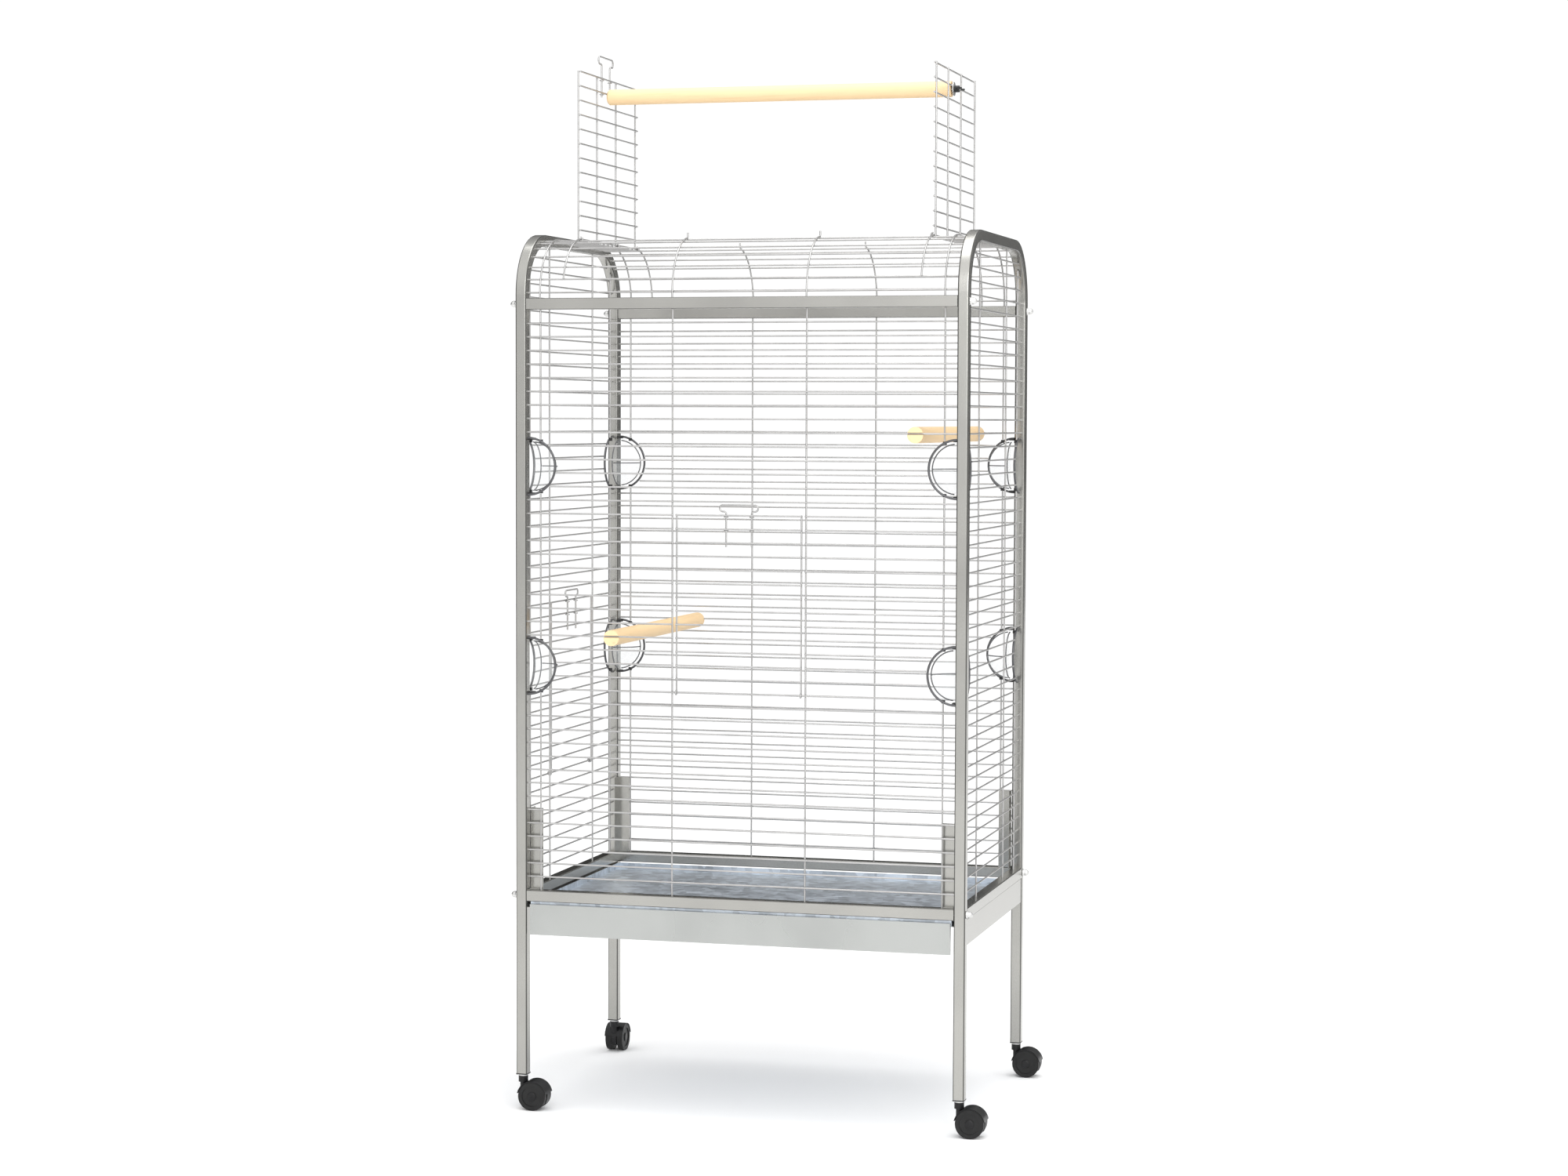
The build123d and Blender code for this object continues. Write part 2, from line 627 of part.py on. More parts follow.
def flap(side):
    """A roof flap standing open on its hinge wire."""
    span = OPENING_HALF - END_INSET
    height = FLAP_TOP_Z - FLAP_AXIS_Z + WIRE / 2
    rows = [FLAP_TOP_Z - FLAP_PITCH * step for step in range(FLAP_ROWS)]
    rods([((side * HINGE_X, -span - 1.5, z), (side * HINGE_X, span + 1.5, z)) for z in rows])
    for y in FLAP_UPRIGHTS:
        axis = Plane(origin=(side * HINGE_X, y, FLAP_AXIS_Z), x_dir=(-side, 0, 0), z_dir=(0, side, 0))
        hooked_wire(axis, height)
    for y in (-span, span):
        axis = Plane(origin=(side * HINGE_X, y, FLAP_AXIS_Z), x_dir=(-side, 0, 0), z_dir=(0, side, 0))
        hooked_wire(axis, height, LOOP + 0.8)


with BuildPart() as left_roof_flap:
    flap(-1)
    guides = []
    for z in (FLAP_TOP_Z, FLAP_TOP_Z - FLAP_PITCH):
        for stem in (-LATCH_STEM, LATCH_STEM):
            guides.append((-HINGE_X - LATCH_BEHIND, TOP_PERCH_Y + stem, z - 2.6))
    loops(guides, 3.2, 1.0)
save(left_roof_flap.part, "left_roof_flap")

with BuildPart() as right_roof_flap:
    flap(1)
save(right_roof_flap.part, "right_roof_flap")

with BuildPart() as roof_latch:
    latch_wire(
        Plane(origin=(-HINGE_X - LATCH_BEHIND, TOP_PERCH_Y, 0), x_dir=(0, 1, 0), z_dir=(1, 0, 0)),
        1804,
        1863,
        1863 + LATCH_HEAD,
        LATCH_STEM + 11,
    )
save(roof_latch.part, "roof_latch")


def door_panel(place, plane, hinge_row):
    """A wire door hinged on a panel row; place() turns (across, out, z) into a point."""
    rows = [row_z(index) for index in door_rows(hinge_row)]
    edge = DOOR_HALF + WIRE / 2
    rods([(place(-edge, LAYER, z), place(edge, LAYER, z)) for z in rows])
    for across in (-DOOR_HALF, DOOR_HALF):
        origin = place(across, LAYER, row_z(hinge_row))
        hooked_wire(Plane(origin=origin, x_dir=plane.x_dir, z_dir=plane.z_dir), rows[0] - row_z(hinge_row) + 1.5)
    guides = []
    for z in rows[:2]:
        for stem in (-LATCH_STEM, LATCH_STEM):
            guides.append(place(stem, LAYER - LATCH_BEHIND, z - 2.6))
    loops(guides, 3.2, 1.0)


def door_latch(plane, hinge_row):
    """The sliding bolt of a door, resting just under the panel row above."""
    top = row_z(hinge_row - DOOR_PITCHES - 1) - LATCH_REST
    latch_wire(plane, top - LATCH_LENGTH, top - DOOR_LATCH_HEAD, top, LATCH_STEM + 6)


with BuildPart() as front_door:
    door_panel(facing_front, Plane(origin=(0, 0, 0), x_dir=(0, -1, 0), z_dir=(-1, 0, 0)), FRONT_DOOR_ROW)
save(front_door.part, "front_door")

with BuildPart() as front_door_latch:
    depth = -POST_Y - LAYER + LATCH_BEHIND
    door_latch(Plane(origin=(0, depth, 0), x_dir=(1, 0, 0), z_dir=(0, -1, 0)), FRONT_DOOR_ROW)
save(front_door_latch.part, "front_door_latch")

with BuildPart() as side_door:
    door_panel(facing_left, Plane(origin=(0, 0, 0), x_dir=(-1, 0, 0), z_dir=(0, 1, 0)), SIDE_DOOR_ROW)
save(side_door.part, "side_door")

with BuildPart() as side_door_latch:
    depth = -POST_X - LAYER + LATCH_BEHIND
    door_latch(Plane(origin=(depth, 0, 0), x_dir=(0, 1, 0), z_dir=(1, 0, 0)), SIDE_DOOR_ROW)
save(side_door_latch.part, "side_door_latch")


# ---------------------------------------------------------------- casters
FEET = {"front_left": (-1, -1, 0), "front_right": (1, -1, 0), "back_left": (-1, 1, 90), "back_right": (1, 1, 0)}
FEET_XY = [(sx * POST_X, sy * POST_Y) for sx, sy, _ in FEET.values()]
AXLE_Z = WHEEL / 2

with BuildPart() as leg_plugs:
    with Locations(*[(x, y, LEG_BOTTOM - 0.1) for x, y in FEET_XY]):
        Box(16, 16, 28, align=(Align.CENTER, Align.CENTER, Align.MIN))
        Box(TUBE, TUBE, 2, align=(Align.CENTER, Align.CENTER, Align.MAX))
        Cylinder(4.05, 80, mode=Mode.SUBTRACT)
save(leg_plugs.part, "leg_plugs")

with BuildPart() as caster_stems:
    with Locations(*[(x, y, 46) for x, y in FEET_XY]):
        Cylinder(4, 42, align=(Align.CENTER, Align.CENTER, Align.MIN))
    with Locations(*[(x, y, 59.4) for x, y in FEET_XY]):
        Cylinder(8, 2.2, align=(Align.CENTER, Align.CENTER, Align.MIN))
save(caster_stems.part, "caster_stems")


def caster_hood():
    """Swivel housing: a mudguard over both wheels, a web between them and a boss."""
    upward = (Align.CENTER, Align.CENTER, Align.MIN)
    with Locations(Location((TRAIL, 0, AXLE_Z), (90, 0, 0))):
        Cylinder(GUARD_OUTER, 2 * GUARD_HALF)
        Cylinder(GUARD_OUTER - 1.4, 60, mode=Mode.SUBTRACT)
    with Locations((TRAIL, 0, 10)):
        Box(70, 70, 40, mode=Mode.SUBTRACT)
    with Locations(Location((TRAIL, 0, AXLE_Z), (90, 0, 0))):
        Cylinder(GUARD_OUTER - 1.2, 10)
    with Locations((TRAIL, 0, 2)):
        Box(70, 11, 20, mode=Mode.SUBTRACT)
    with Locations((0, 0, 36)):
        Cylinder(5.6, 20, align=upward)
    with Locations((0, 0, 48.5)):
        Cylinder(8.5, 10.5, align=upward)
    with Locations((0, 0, 45.5)):
        Cylinder(4.05, 20, align=upward, mode=Mode.SUBTRACT)
    with Locations(Location((TRAIL, 0, AXLE_Z), (90, 0, 0))):
        Cylinder(4.02, 20, mode=Mode.SUBTRACT)


def caster_wheels():
    """Twin wheels with dished outer faces."""
    for side in (-1, 1):
        with Locations(Location((TRAIL, side * 11.5, AXLE_Z), (90, 0, 0))):
            Cylinder(WHEEL / 2, WHEEL_WIDTH)
        with Locations(Location((TRAIL, side * 17, AXLE_Z), (90, 0, 0))):
            Cylinder(18, 3, mode=Mode.SUBTRACT)
        with Locations(Location((TRAIL, side * 15.6, AXLE_Z), (90, 0, 0))):
            Cylinder(8, 2)
        with Locations(Location((TRAIL, side * 11.5, AXLE_Z), (90, 0, 0))):
            Cylinder(4.06, 30, mode=Mode.SUBTRACT)


for name, (sx, sy, angle) in FEET.items():
    place = Location((sx * POST_X, sy * POST_Y, 0), (0, 0, angle))
    with BuildPart() as hood:
        with Locations(place):
            caster_hood()
    save(hood.part, f"caster_hood_{name}")
    with BuildPart() as wheels:
        with Locations(place):
            caster_wheels()
    save(wheels.part, f"caster_wheels_{name}")
    with BuildPart() as axle:
        with Locations(place):
            with Locations(Location((TRAIL, 0, AXLE_Z), (90, 0, 0))):
                Cylinder(4, 33)
    save(axle.part, f"caster_axle_{name}")
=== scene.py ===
"""Looks of a wheeled bird cage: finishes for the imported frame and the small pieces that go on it."""

import logging
import math
from dataclasses import dataclass, field
from enum import Enum
from typing import Any, Iterable, Sequence

import bmesh
import bpy
from mathutils import Matrix, Vector


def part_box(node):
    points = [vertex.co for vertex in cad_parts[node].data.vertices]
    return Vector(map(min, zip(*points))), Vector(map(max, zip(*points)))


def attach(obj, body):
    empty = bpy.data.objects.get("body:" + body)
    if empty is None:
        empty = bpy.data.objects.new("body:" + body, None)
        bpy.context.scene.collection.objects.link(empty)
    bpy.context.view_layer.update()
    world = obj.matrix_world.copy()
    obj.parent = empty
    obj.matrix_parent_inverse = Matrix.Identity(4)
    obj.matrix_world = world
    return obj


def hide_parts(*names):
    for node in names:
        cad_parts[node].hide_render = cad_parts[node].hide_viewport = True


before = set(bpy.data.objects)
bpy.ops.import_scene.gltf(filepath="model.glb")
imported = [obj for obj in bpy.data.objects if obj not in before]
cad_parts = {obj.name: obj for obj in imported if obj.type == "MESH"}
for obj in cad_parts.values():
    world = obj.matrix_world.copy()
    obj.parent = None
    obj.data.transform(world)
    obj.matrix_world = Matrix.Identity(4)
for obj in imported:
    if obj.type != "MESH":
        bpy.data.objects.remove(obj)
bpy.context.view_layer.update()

Rgb = tuple[float, float, float]
Point = tuple[float, float, float]

log = logging.getLogger("cage")

# Sizes in metres, measured from the middle of the tube frame on the floor
POST_X = 0.395
POST_Y = 0.2575
PANEL_TOP = 1.414
ROWS = 42
ROW_PITCH = 1.022 / 43
MIDDLE_WIRE = 0.12
DOOR_HALF = 0.112
CUP_HEIGHTS = {"upper": 1.14, "lower": 0.789}
BEAD = 0.0021
BEAD_THICKNESS = 0.0016


def frame_middle() -> Vector:
    """Middle of the tube frame on the floor, from the boxes of its two side frames."""
    low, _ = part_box("left_side_frame")
    _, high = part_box("right_side_frame")
    return Vector(((low[0] + high[0]) / 2, (low[1] + high[1]) / 2, 0.0))


MIDDLE = frame_middle()


# ------------------------------------------------------------------ shader kit
class Signal:
    """A node output that takes part in plain arithmetic."""

    def __init__(self, graph: "Graph", socket: bpy.types.NodeSocket) -> None:
        """Keep the graph and the output socket."""
        self.graph = graph
        self.socket = socket

    def _math(self, operation: str, first: Any, second: Any = None, clamp: bool = False) -> "Signal":
        """Add a Math node.

        Args:
            operation: The node's operation.
            first: Its first value or link.
            second: Its second value or link.
            clamp: Whether the result is kept between 0 and 1.

        Returns:
            The node's result.
        """
        values = {0: first} if second is None else {0: first, 1: second}
        return self.graph.add("ShaderNodeMath", {"operation": operation, "use_clamp": clamp}, values)

    def __add__(self, other: Any) -> "Signal":
        """Sum."""
        return self._math("ADD", self, other)

    def __radd__(self, other: Any) -> "Signal":
        """Sum with a plain number first."""
        return self._math("ADD", other, self)

    def __sub__(self, other: Any) -> "Signal":
        """Difference."""
        return self._math("SUBTRACT", self, other)

    def __rsub__(self, other: Any) -> "Signal":
        """Difference with a plain number first."""
        return self._math("SUBTRACT", other, self)

    def __mul__(self, other: Any) -> "Signal":
        """Product."""
        return self._math("MULTIPLY", self, other)

    def __rmul__(self, other: Any) -> "Signal":
        """Product with a plain number first."""
        return self._math("MULTIPLY", other, self)

    def larger(self, other: Any) -> "Signal":
        """The larger of two values."""
        return self._math("MAXIMUM", self, other)

    def clamped(self) -> "Signal":
        """The same value kept between 0 and 1."""
        return self._math("ADD", self, 0.0, clamp=True)


class Graph:
    """The node tree of one material."""

    def __init__(self, name: str) -> None:
        """Start an empty material of this name."""
        self.material = bpy.data.materials.new(name)
        self.material.use_nodes = True
        self.tree = self.material.node_tree
        self.tree.nodes.clear()

    def add(self, kind: str, settings: dict[str, Any], inputs: dict[Any, Any], output: Any = 0) -> Signal:
        """Add any node.

        Args:
            kind: The node's type.
            settings: Properties set before the sockets; "stops" fills a colour ramp.
            inputs: Values or signals for its sockets, by name or index.
            output: Name or index of the output wanted.

        Returns:
            That output.
        """
        node = self.tree.nodes.new(kind)
        for key, value in settings.items():
            if key == "stops":
                self._fill_ramp(node.color_ramp, value)
            else:
                setattr(node, key, value)
        for key, value in inputs.items():
            if isinstance(value, Signal):
                self.tree.links.new(value.socket, node.inputs[key])
            else:
                node.inputs[key].default_value = value
        return Signal(self, node.outputs[output])

    def _fill_ramp(self, ramp: bpy.types.ColorRamp, stops: Sequence[tuple[float, Rgb]]) -> None:
        """Set a ramp's stops.

        Args:
            ramp: The ramp.
            stops: Position and colour of each stop.
        """
        while len(ramp.elements) < len(stops):
            ramp.elements.new(1.0)
        for element, (position, colour) in zip(ramp.elements, stops):
            element.position = position
            element.color = (*colour, 1.0)

    def coords(self, stretch: Point = (1.0, 1.0, 1.0)) -> Signal:
        """Object coordinates in metres, stretched along each axis."""
        where = self.add("ShaderNodeTexCoord", {}, {}, "Object")
        return self.add("ShaderNodeMapping", {}, {"Vector": where, "Scale": stretch})

    def noise(self, scale: float, detail: float = 3.0, stretch: Point = (1.0, 1.0, 1.0)) -> Signal:
        """Smooth noise between 0 and 1 at this many cycles per metre."""
        values = {"Vector": self.coords(stretch), "Scale": scale, "Detail": detail, "Roughness": 0.55}
        return self.add("ShaderNodeTexNoise", {}, values)

    def corners(self, bent: bool) -> Signal:
        """Mask for painted dark reflections: 1 on the rounded edges of a tube, 0 on its flats.

        Args:
            bent: Whether the tube bends about the X axis, so only its turn towards X counts.

        Returns:
            The mask.
        """
        normal = self.add("ShaderNodeNewGeometry", {}, {}, "True Normal")
        squares = self.add("ShaderNodeVectorMath", {"operation": "MULTIPLY"}, {0: normal, 1: normal})
        parts = [self.add("ShaderNodeSeparateXYZ", {}, {"Vector": squares}, axis) for axis in "XYZ"]
        if bent:
            return parts[0] * (1.0 - parts[0]) * 4.0
        return (1.0 - parts[0].larger(parts[1]).larger(parts[2])) * 2.0

    def tint(self, amount: Signal, stops: Sequence[tuple[float, Rgb]]) -> Signal:
        """A colour chosen by a value."""
        return self.add("ShaderNodeValToRGB", {"stops": stops}, {"Fac": amount})

    def bump(self, height: Signal, strength: float, distance: float) -> Signal:
        """A surface normal pushed about by a height."""
        values = {"Height": height, "Strength": strength, "Distance": distance}
        return self.add("ShaderNodeBump", {}, values)

    def finish(self, inputs: dict[str, Any]) -> bpy.types.Material:
        """Close the graph with a Principled shader.

        Args:
            inputs: Values or signals of the shader's sockets.

        Returns:
            The material.
        """
        shader = self.add("ShaderNodeBsdfPrincipled", {}, inputs)
        end = self.tree.nodes.new("ShaderNodeOutputMaterial")
        self.tree.links.new(shader.socket, end.inputs["Surface"])
        return self.material


def shade(colour: Rgb, factor: float) -> Rgb:
    """The colour made lighter or darker."""
    return tuple(min(1.0, channel * factor) for channel in colour)


# ------------------------------------------------------------------ finishes
@dataclass(frozen=True)
class PowderCoat:
    """Satin metallic coat with fine orange peel, with dark reflections painted into its colour on the tube's
    rounded edges.
    """

    name: str
    colour: Rgb
    roughness: float = 0.34
    metallic: float = 0.62
    # strength of the painted dark reflections on the rounded edges
    corner: float = 0.85
    bent: bool = False

    def material(self) -> bpy.types.Material:
        """Build the material."""
        graph = Graph(self.name)
        broad = graph.noise(6.0, 2.0)
        flake = graph.noise(1400.0, 1.0)
        peel = graph.noise(420.0, 2.0)
        # painted dark reflections: the coat's colour goes darker on the tube's rounded edges
        dark = graph.corners(self.bent) * self.corner
        tone = (0.56 + broad * 0.3 + flake * 0.07) * (1.0 - dark)
        low, middle = shade(self.colour, 0.16), shade(self.colour, 0.62)
        stops = [(0.1, low), (0.42, middle), (0.78, shade(self.colour, 1.1))]
        return graph.finish(
            {
                "Base Color": graph.tint(tone.clamped(), stops),
                "Metallic": self.metallic,
                "Roughness": (self.roughness - 0.06 + broad * 0.12).clamped(),
                "Normal": graph.bump(peel, 0.12, 0.0004),
            }
        )


@dataclass(frozen=True)
class ZincWire:
    """Drawn wire under bright zinc, with faint draw lines and duller patches."""

    name: str
    colour: Rgb
    roughness: float = 0.3

    def material(self) -> bpy.types.Material:
        """Build the material."""
        graph = Graph(self.name)
        patch = graph.noise(22.0, 4.0)
        grain = graph.noise(900.0, 2.0)
        stops = [(0.3, shade(self.colour, 0.84)), (0.62, self.colour), (0.85, shade(self.colour, 1.1))]
        return graph.finish(
            {
                "Base Color": graph.tint(patch, stops),
                "Metallic": 0.85,
                "Roughness": (self.roughness - 0.05 + patch * 0.14 + grain * 0.05).clamped(),
                "Normal": graph.bump(grain, 0.1, 0.0003),
            }
        )


@dataclass(frozen=True)
class GalvanisedSheet:
    """Bare sheet with zinc spangles and rolled streaks, with light and dark reflections painted into its
    colour along the streaks.
    """

    name: str
    colour: Rgb

    def material(self) -> bpy.types.Material:
        """Build the material."""
        graph = Graph(self.name)
        spangle = graph.add(
            "ShaderNodeTexVoronoi", {"feature": "F1"}, {"Vector": graph.coords(), "Scale": 70.0}, "Color"
        )
        facet = graph.add("ShaderNodeSeparateColor", {}, {"Color": spangle}, "Red")
        streak_and_painted_sheen = graph.noise(9.0, 5.0, (1.0, 14.0, 1.0))
        cloud = graph.noise(3.2, 3.0)
        # painted reflections: the rolled streaks lighten and darken the colour, and they also vary the
        # roughness and bump
        tone = (facet * 0.22 + streak_and_painted_sheen * 0.48 + cloud * 0.3).clamped()
        stops = [(0.3, shade(self.colour, 0.6)), (0.5, self.colour), (0.7, shade(self.colour, 1.35))]
        return graph.finish(
            {
                "Base Color": graph.tint(tone, stops),
                "Metallic": 0.8,
                "Roughness": (0.22 + streak_and_painted_sheen * 0.22 + facet * 0.08).clamped(),
                "Normal": graph.bump(cloud + streak_and_painted_sheen * 0.3, 0.35, 0.004),
            }
        )


class Grain(Enum):
    """Which way the fibres of a dowel run, as a stretch of the noise."""

    ALONG_X = (0.05, 1.0, 1.0)
    ALONG_Y = (1.0, 0.05, 1.0)


@dataclass(frozen=True)
class Dowel:
    """Sanded pale wood with long fibres, pores and a soft ring figure."""

    name: str
    grain: Grain
    light: Rgb = (0.78, 0.57, 0.33)
    dark: Rgb = (0.62, 0.42, 0.22)

    def material(self) -> bpy.types.Material:
        """Build the material."""
        graph = Graph(self.name)
        fibres = graph.noise(260.0, 4.0, self.grain.value)
        figure = graph.noise(46.0, 2.0, self.grain.value)
        pores = graph.noise(900.0, 2.0, self.grain.value)
        tone = (fibres * 0.45 + figure * 0.55).clamped()
        stops = [(0.2, self.dark), (0.46, self.light), (0.85, shade(self.light, 1.08))]
        return graph.finish(
            {
                "Base Color": graph.tint(tone, stops),
                "Roughness": (0.5 + fibres * 0.22).clamped(),
                "Normal": graph.bump(pores * 0.5 + fibres * 0.5, 0.12, 0.0004),
            }
        )


@dataclass(frozen=True)
class MouldedPlastic:
    """Opaque moulded plastic with a fine spark-eroded texture and rubbed high spots."""

    name: str
    colour: Rgb
    roughness: float = 0.42
    texture: float = 0.2

    def material(self) -> bpy.types.Material:
        """Build the material."""
        graph = Graph(self.name)
        texture = graph.noise(1300.0, 3.0)
        wear = graph.noise(60.0, 4.0)
        stops = [(0.35, self.colour), (0.8, shade(self.colour, 1.9))]
        return graph.finish(
            {
                "Base Color": graph.tint(wear, stops),
                "Roughness": (self.roughness - 0.08 + wear * 0.2).clamped(),
                "Normal": graph.bump(texture, self.texture, 0.0003),
                "Specular IOR Level": 0.28,
            }
        )


@dataclass(frozen=True)
class ClearPlastic:
    """Thin clear styrene, slightly hazed by washing."""

    name: str
    colour: Rgb = (0.72, 0.75, 0.76)
    clearness: float = 0.07

    def material(self) -> bpy.types.Material:
        """Build the material."""
        graph = Graph(self.name)
        haze = graph.noise(120.0, 4.0)
        stops = [(0.3, shade(self.colour, 0.94)), (0.8, self.colour)]
        return graph.finish(
            {
                "Base Color": graph.tint(haze, stops),
                "Roughness": (0.06 + haze * 0.1).clamped(),
                "Alpha": (self.clearness - 0.04 + haze * 0.08).clamped(),
                "IOR": 1.49,
            }
        )


@dataclass(frozen=True)
class Finishes:
    """Every finish of the cage, made once."""

    paint: bpy.types.Material
    bent_paint: bpy.types.Material
    sheet_paint: bpy.types.Material
    wire: bpy.types.Material
    ring: bpy.types.Material
    tray: bpy.types.Material
    dowel_x: bpy.types.Material
    dowel_y: bpy.types.Material
    clear: bpy.types.Material
    black: bpy.types.Material
    hood: bpy.types.Material
    tread: bpy.types.Material
    plated: bpy.types.Material

    @classmethod
    def make(cls) -> "Finishes":
        """Build all the materials."""
        return cls(
            # all three coats have painted dark reflections on their rounded edges, weaker (0.5) on the sheet
            paint=PowderCoat("silver_grey_coat", (0.36, 0.356, 0.336), 0.24, 0.92).material(),
            bent_paint=PowderCoat("bent_tube_coat", (0.36, 0.356, 0.336), 0.24, 0.92, bent=True).material(),
            sheet_paint=PowderCoat("pale_sheet_coat", (0.38, 0.39, 0.38), 0.28, 0.85, 0.5).material(),
            wire=ZincWire("bright_zinc_wire", (0.46, 0.455, 0.45)).material(),
            ring=ZincWire("dull_ring_wire", (0.12, 0.12, 0.125), 0.36).material(),
            tray=GalvanisedSheet("tray_sheet", (0.56, 0.61, 0.67)).material(),
            dowel_x=Dowel("dowel_across", Grain.ALONG_X).material(),
            dowel_y=Dowel("dowel_front_to_back", Grain.ALONG_Y).material(),
            clear=ClearPlastic("clear_cup").material(),
            black=MouldedPlastic("black_clip", (0.02, 0.02, 0.02)).material(),
            hood=MouldedPlastic("black_hood", (0.006, 0.006, 0.0065), 0.3, 0.12).material(),
            tread=MouldedPlastic("black_tread", (0.008, 0.008, 0.008), 0.42, 0.3).material(),
            plated=ZincWire("plated_fastener", (0.66, 0.66, 0.65), 0.22).material(),
        )


# ------------------------------------------------------------------ mesh kit
def dress(names: Iterable[str], material: bpy.types.Material) -> None:
    """Give CAD nodes a finish.

    Args:
        names: The nodes.
        material: Their finish.
    """
    for name in names:
        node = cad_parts[name]
        for place in node.material_slots:
            place.material = material
        log.info("dressed %s with %s", name, material.name)


def piece(
    name: str, mesh: bmesh.types.BMesh, material: bpy.types.Material, body: str
) -> bpy.types.Object:
    """Turn a finished bmesh into a smooth object that rides on a body.

    Args:
        name: The piece's name.
        mesh: Its shape about the middle of the tube frame, freed here.
        material: Its finish.
        body: The body it moves with.

    Returns:
        The object.
    """
    data = bpy.data.meshes.new(name)
    bmesh.ops.translate(mesh, verts=mesh.verts, vec=MIDDLE)
    bmesh.ops.recalc_face_normals(mesh, faces=mesh.faces)
    mesh.to_mesh(data)
    mesh.free()
    data.materials.append(material)
    for face in data.polygons:
        face.use_smooth = True
    made = bpy.data.objects.new(name, data)
    bpy.context.scene.collection.objects.link(made)
    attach(made, body)
    log.info("built %s on %s", name, body)
    return made


def skin(mesh: bmesh.types.BMesh, rings: Sequence[Sequence[bmesh.types.BMVert]]) -> None:
    """Close a run of equal rings into one solid skin.

    Args:
        mesh: Where the faces are added.
        rings: The rings of points, in order.
    """
    steps = len(rings[0])
    for low, high in zip(rings, rings[1:]):
        for step in range(steps):
            after = (step + 1) % steps
            mesh.faces.new((low[step], low[after], high[after], high[step]))
    mesh.faces.new(list(reversed(rings[0])))
    mesh.faces.new(rings[-1])


def lathe(
    mesh: bmesh.types.BMesh, profile: Sequence[tuple[float, float]], place: Matrix, steps: int = 28
) -> None:
    """Spin a profile round the local Z axis.

    Args:
        mesh: Where it is added.
        profile: Radius and height of each ring, from the base to the tip.
        place: Where the local axes go.
        steps: Points round each ring.
    """
    rings = []
    for radius, height in profile:
        ring = []
        for step in range(steps):
            turn = 2 * math.pi * step / steps
            point = Vector((radius * math.cos(turn), radius * math.sin(turn), height))
            ring.append(mesh.verts.new(place @ point))
        rings.append(ring)
    skin(mesh, rings)


def tube(
    mesh: bmesh.types.BMesh, line: Sequence[Vector], radius: float, side: Vector, steps: int = 10
) -> None:
    """Run a round wire along a line of points that lies in one plane.

    Args:
        mesh: Where it is added.
        line: Points along the wire.
        radius: Radius of the wire.
        side: Normal of the plane that the line lies in.
        steps: Points round the wire.
    """
    rings = []
    for index, point in enumerate(line):
        ahead = line[min(index + 1, len(line) - 1)] - line[max(index - 1, 0)]
        across = ahead.normalized().cross(side).normalized()
        ring = []
        for step in range(steps):
            turn = 2 * math.pi * step / steps
            offset = across * (radius * math.cos(turn)) + side * (radius * math.sin(turn))
            ring.append(mesh.verts.new(point + offset))
        rings.append(ring)
    skin(mesh, rings)


def beads(mesh: bmesh.types.BMesh, points: Iterable[Point], size: Point) -> None:
    """Add a small flattened weld bead at each point.

    Args:
        mesh: Where they are added.
        points: Centres of the beads.
        size: Half sizes of a bead along X, Y and Z.
    """
    for index, point in enumerate(points):
        swell = 1.0 + 0.12 * math.sin(index * 2.4)
        scale = Matrix.Diagonal((size[0] * swell, size[1], size[2] * swell, 1.0))
        bmesh.ops.create_icosphere(mesh, subdivisions=1, radius=1.0, matrix=Matrix.Translation(point) @ scale)


def facing(origin: Point, outward: Point) -> Matrix:
    """A placing whose local Z points outward.

    Args:
        origin: Where the local origin goes.
        outward: Direction of the local Z axis.

    Returns:
        The placing.
    """
    turn = Vector((0, 0, 1)).rotation_difference(Vector(outward)).to_matrix().to_4x4()
    return Matrix.Translation(origin) @ turn


# ------------------------------------------------------------------ sub-assemblies
@dataclass
class TubeFrame:
    """Bent side frames, rails, runners, corner plates and the bolts that hold them."""

    finishes: Finishes
    post_x: float = POST_X
    post_y: float = POST_Y
    bolt_heights: tuple[float, float] = (0.382, 1.424)

    def build(self) -> None:
        """Turn the domed bolt heads with their washers and shanks."""
        mesh = bmesh.new()
        outer = self.post_x + 0.01
        dome = [(0.0062, 0.0001), (0.0068, 0.0004), (0.0068, 0.0012), (0.0058, 0.0015), (0.0058, 0.0048)]
        for step in range(1, 7):
            turn = math.radians(15 * step)
            dome.append((0.0058 * math.cos(turn) + 0.0002, 0.0048 + 0.0068 * math.sin(turn)))
        for side in (-1, 1):
            for end in (-1, 1):
                for height in self.bolt_heights:
                    lathe(mesh, dome, facing((side * outer, end * self.post_y, height), (side, 0, 0)))
                    shank = [(0.0029, 0.0), (0.0029, 0.0325)]
                    start = (side * (outer - 0.032), end * self.post_y, height)
                    lathe(mesh, shank, facing(start, (side, 0, 0)), 12)
        heads = piece("cap_bolts", mesh, self.finishes.plated, "frame")
        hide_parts("rail_bolts")

    def dress(self) -> None:
        """Paint the tubes and sheets."""
        dress(["left_side_frame", "right_side_frame"], self.finishes.bent_paint)
        tubes = []
        for end in ("front", "back"):
            tubes += [f"{end}_top_rail", f"{end}_bottom_rail"]
        for side in ("left", "right"):
            tubes += [f"{side}_bottom_rail", f"{side}_drawer_runner"]
        dress(tubes, self.finishes.paint)
        plates = [f"corner_plate_{end}_{side}" for end in ("front", "back") for side in ("left", "right")]
        dress(plates, self.finishes.paint)


